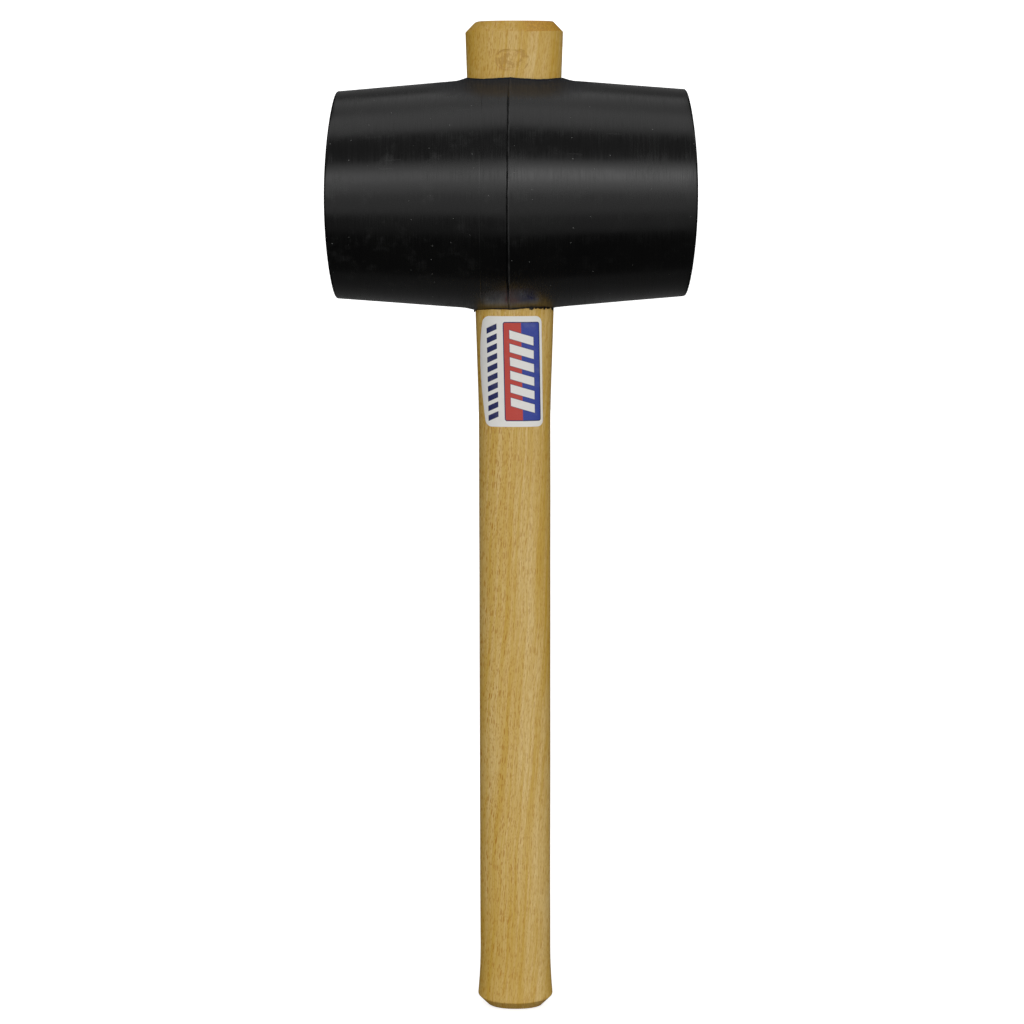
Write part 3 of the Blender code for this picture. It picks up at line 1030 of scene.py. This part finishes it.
def make_floor():
    """A pale round floor that curves up into a low wall on every side."""
    profile = [(radius, 0.0) for radius in FLOOR_RINGS]
    for angle in np.linspace(0, pi / 2, COVE_STEPS)[1:]:
        profile.append((FLOOR_RADIUS + COVE_RADIUS * sin(angle), COVE_RADIUS * (1 - cos(angle))))
    profile.append((FLOOR_RADIUS + COVE_RADIUS, WALL_TOP))
    bm = bmesh.new()
    corners = [bm.verts.new((radius, 0, z)) for radius, z in profile]
    edges = [bm.edges.new(pair) for pair in zip(corners, corners[1:])]
    bmesh.ops.spin(
        bm, geom=corners + edges, cent=(0, 0, 0), axis=(0, 0, 1), angle=tau, steps=96, use_merge=True
    )
    bmesh.ops.remove_doubles(bm, verts=bm.verts, dist=0.1 * MM)
    floor = new_object("floor", mesh_facing_out("floor", bm))
    floor.visible_glossy = False
    floor.visible_diffuse = False
    floor.visible_shadow = False
    n = Nodes("pale_floor")
    soft = n.noise(n.coordinates(), 1 / 3, detail=2)
    tint = n.mix(soft, (0.86, 0.86, 0.86), (0.90, 0.90, 0.90))
    n.shader.inputs["Emission Color"].default_value = (1.0, 1.0, 1.0, 1.0)
    n.shader.inputs["Emission Strength"].default_value = FLOOR_GLOW
    floor.data.materials.append(n.finish(tint, 0.9, n.bump(soft, 0.2 * MM)))


# Soft square lamps that leave no reflection: (name, place, what it aims at, side, brightness)
FILL_LAMPS = [
    ("front_fill", (0.35, -2.4, 0.75), (0, 0, 0.25), 1.8, 0.84),
    ("left_fill", (-1.7, -0.9, 0.25), (0, 0, 0.2), 1.2, 1.85),
    ("right_fill", (1.7, -0.9, 0.25), (0, 0, 0.2), 1.2, 1.85),
    ("back_fill", (-0.5, 2.3, 0.8), (0, 0, 0.2), 1.8, 0.9),
]


def make_lights():
    for name, place, aim, side, radiance in FILL_LAMPS:
        lamp = bpy.data.lights.new(name, "AREA")
        lamp.shape = "SQUARE"
        lamp.size = side
        lamp.energy = radiance * pi * side * side
        item = new_object(name, lamp)
        item.location = place
        item.rotation_mode = "QUATERNION"
        item.rotation_quaternion = (Vector(aim) - Vector(place)).to_track_quat("-Z", "Y")
        item.visible_camera = False
        item.visible_glossy = False


# Soft studio panels all round the head, as bands between two angles round the X axis. 0 is straight
# towards the front, 90 is overhead and -90 is below: (from, to, edge softness, left and right brightness)
STUDIO_PANELS = [
    (-190, 190, 1, 0.04, 0.04),  # the dark room
    (-190, -94, 3, 0.08, 0.08),  # pale floor behind and below
    (129, 190, 3, 0.11, 0.11),  # back wall
    (-40, -20, 3, 0.10, 0.28),  # front table edge
    (-20, 35, 3, 0.54, 0.56),  # front wall
    (2, 33, 5, 0.22, 0.38),  # front softbox, from its faint rim to its core
    (5, 30, 6, 0.25, 0.55),
    (14, 25, 3, 0.55, 1.20),
    (35, 68, 4, 0.15, 0.14),  # gap between the softboxes
    (68, 129, 5, 0.62, 0.62),  # overhead softbox
    (71, 96, 6, 0.27, 0.27),
]


def make_world():
    """Lights the scene with the studio panels, as the mallet sees them."""
    world = bpy.data.worlds.new("studio")
    bpy.context.scene.world = world
    world.use_nodes = True
    n = Nodes(world)
    x, y, z = n.split(n.tree.nodes.new("ShaderNodeTexCoord").outputs["Generated"])
    round_x = n.math("DEGREES", n.math("ARCTAN2", z, n.times(y, -1.0)))
    rightness = n.math("MULTIPLY_ADD", x, 2.0, 0.5, clamp=True)
    total = 0.0
    for low, high, soft, left, right in STUDIO_PANELS:
        above = n.ramp(round_x, low - soft, low + soft)
        below = n.ramp(round_x, high - soft, high + soft, 1.0, 0.0)
        bright = n.math("MULTIPLY_ADD", rightness, right - left, left)
        total = n.math("MULTIPLY_ADD", n.times(above, below), bright, total)
    # It is darker behind the head to the left and to the right
    far = n.math("ABSOLUTE", x)
    aside = n.times(n.ramp(y, 0.0, 0.3), n.ramp(far, 0.08, 0.3), n.ramp(far, 0.6, 0.85, 1.0, 0.0))
    total = n.times(total, n.math("MULTIPLY_ADD", aside, -0.85, 1.0))
    # Straight to the sides there is only a faint glow, so the head's rims end in a dark line
    total = n.times(total, n.ramp(far, 0.68, 0.80, 1.0, 0.08))
    glow = n.times(n.ramp(far, 0.86, 0.97), n.ramp(z, -0.3, 0.3, 0.03, 0.12))
    background = n.tree.nodes["Background"]
    background.inputs["Color"].default_value = (1.0, 1.0, 1.0, 1.0)
    n.link(n.math("ADD", total, glow), background.inputs["Strength"])


# ---- camera -----------------------------------------------------------------

CAMERA_PLACE = (-1.1 * MM, -1048 * MM, 333.25 * MM)
CAMERA_PITCH = radians(7.32)
CAMERA_ROLL = radians(0.08)
CAMERA_LENS = 94.92


def make_camera():
    data = bpy.data.cameras.new("camera")
    data.sensor_width = 36.0
    data.lens = CAMERA_LENS
    data.clip_start = 0.05
    data.clip_end = 20.0
    camera = new_object("camera", data)
    turn = Matrix.Rotation(pi / 2 - CAMERA_PITCH, 4, "X") @ Matrix.Rotation(-CAMERA_ROLL, 4, "Z")
    camera.matrix_world = Matrix.Translation(CAMERA_PLACE) @ turn
    bpy.context.scene.camera = camera


def dress(piece, material, slot, *nodes):
    """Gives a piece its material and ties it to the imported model."""
    piece.data.materials.clear()
    piece.data.materials.append(material)
    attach(piece, "root")
    if nodes:
        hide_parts(*nodes)


def main():
    bpy.context.scene.view_settings.view_transform = "Standard"
    make_camera()
    make_lights()
    make_world()
    make_floor()
    rubber = rubber_material()
    dress(make_head(), rubber, "head_rubber", "head")
    dress(make_lip("eye_lip_top", 1), rubber, "head_rubber")
    dress(make_lip("eye_lip_bottom", -1), rubber, "head_rubber")
    dress(make_flash(), rubber, "head_rubber")
    handle = make_handle()
    paint_end_grain_and_shade(handle)
    dress(handle, beech_material(), "handle_beech", "handle")
    dress(make_label(), label_material(), "label_film", "label")


main()
